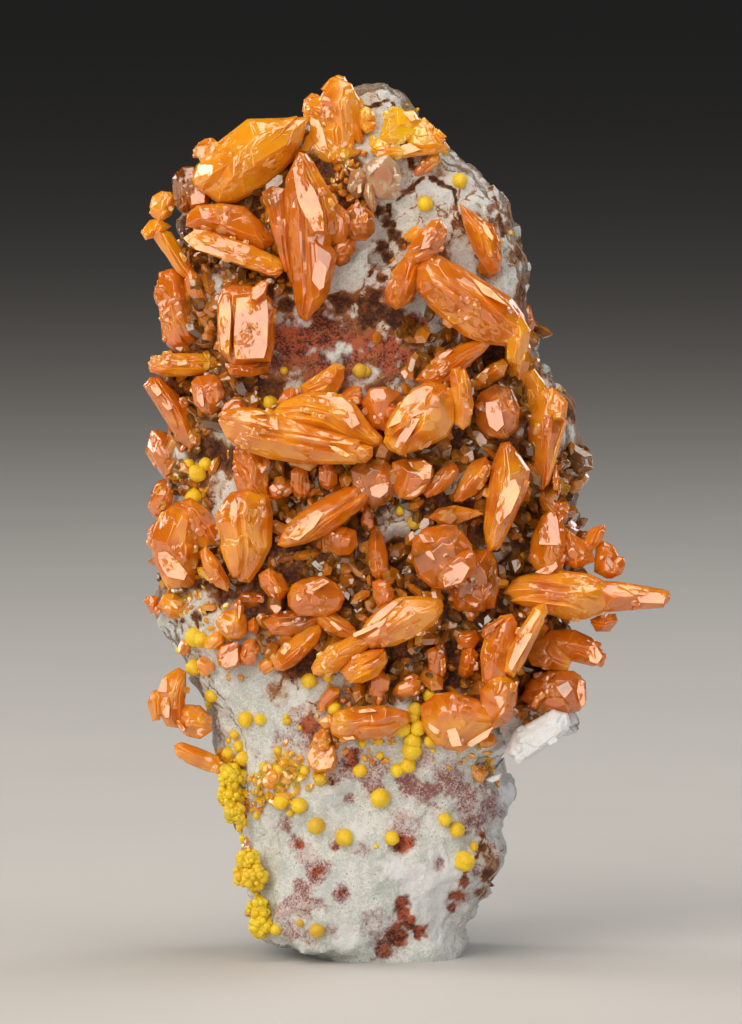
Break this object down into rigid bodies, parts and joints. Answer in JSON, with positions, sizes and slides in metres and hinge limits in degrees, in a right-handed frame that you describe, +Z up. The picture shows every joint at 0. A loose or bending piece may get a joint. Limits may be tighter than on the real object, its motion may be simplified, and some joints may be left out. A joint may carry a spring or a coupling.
{
  "type": "wulfenite specimen",
  "caption": "Orange wulfenite crystals, thick and bevelled, grown in clusters on a tall slab of pale rock with small yellow mimetite balls.",
  "frame": {"origin": "on the flat foot of the rock, below the specimen's middle", "axes": "+Z up the length of the rock; the crystals face -Y; +X to the right as they face the viewer"},
  "size_m": [0.0534, 0.0327, 0.0899],
  "materials": {
    "matrix": "rough",
    "wulfenite": "glossy",
    "mimetite": "satin"
  },
  "bodies": {
    "root": {"back_middle": "wulfenite", "back_upper": "wulfenite", "blade_right_edge": "wulfenite", "broken_plate_top": "wulfenite", "brown_lenses_foot": "wulfenite", "brown_tab_low": "wulfenite", "brown_tab_right": "wulfenite", "composite_lens_low": "wulfenite", "crescent_tab_left": "wulfenite", "crescent_tab_right": "wulfenite", "crossed_lenses_right": "wulfenite", "crosswise_crystal_foot": "wulfenite", "crown_and_blade_right": "wulfenite", "dark_lens_low_left": "wulfenite", "dome_tab": "wulfenite", "egg_tab_left": "wulfenite", "faceted_ball": "wulfenite", "faceted_tabs_middle": "wulfenite", "far_left_bar": "wulfenite", "far_left_pair": "wulfenite", "front_lens_pair": "wulfenite", "glassy_group": "wulfenite", "left_column": "wulfenite", "lens_left_horizontal": "wulfenite", "lens_left_slanted": "wulfenite", "lens_upper_right": "wulfenite", "long_dagger": "wulfenite", "long_lens_upper_left": "wulfenite", "low_left_cluster": "wulfenite", "low_left_lenses": "wulfenite", "low_right_lens": "wulfenite", "lower_right_group": "wulfenite", "matrix": "matrix", "mimetite_crust_foot": "mimetite", "mimetite_crust_middle": "mimetite", "mimetite_crust_upper": "mimetite", "oblong_lens_upper": "wulfenite", "pale_egg": "wulfenite", "pale_tablet": "wulfenite", "peach_tab_low": "wulfenite", "peak_blades": "wulfenite", "pointed_lens": "wulfenite", "right_edge_column": "wulfenite", "rounded_left": "wulfenite", "side_left_middle": "wulfenite", "side_left_upper": "wulfenite", "side_right_lower": "wulfenite", "side_right_upper": "wulfenite", "slanting_bar_right": "wulfenite", "slanting_lens_middle": "wulfenite", "small_lens_left_low": "wulfenite", "small_lens_low": "wulfenite", "smooth_lens_top_left": "wulfenite", "star_cluster_right": "wulfenite", "stem_lens_middle": "wulfenite", "tab_beside_dagger": "wulfenite", "tall_blade_right": "wulfenite", "tall_lens_left": "wulfenite", "textured_lens_low": "wulfenite"}
  },
  "joints": []
}
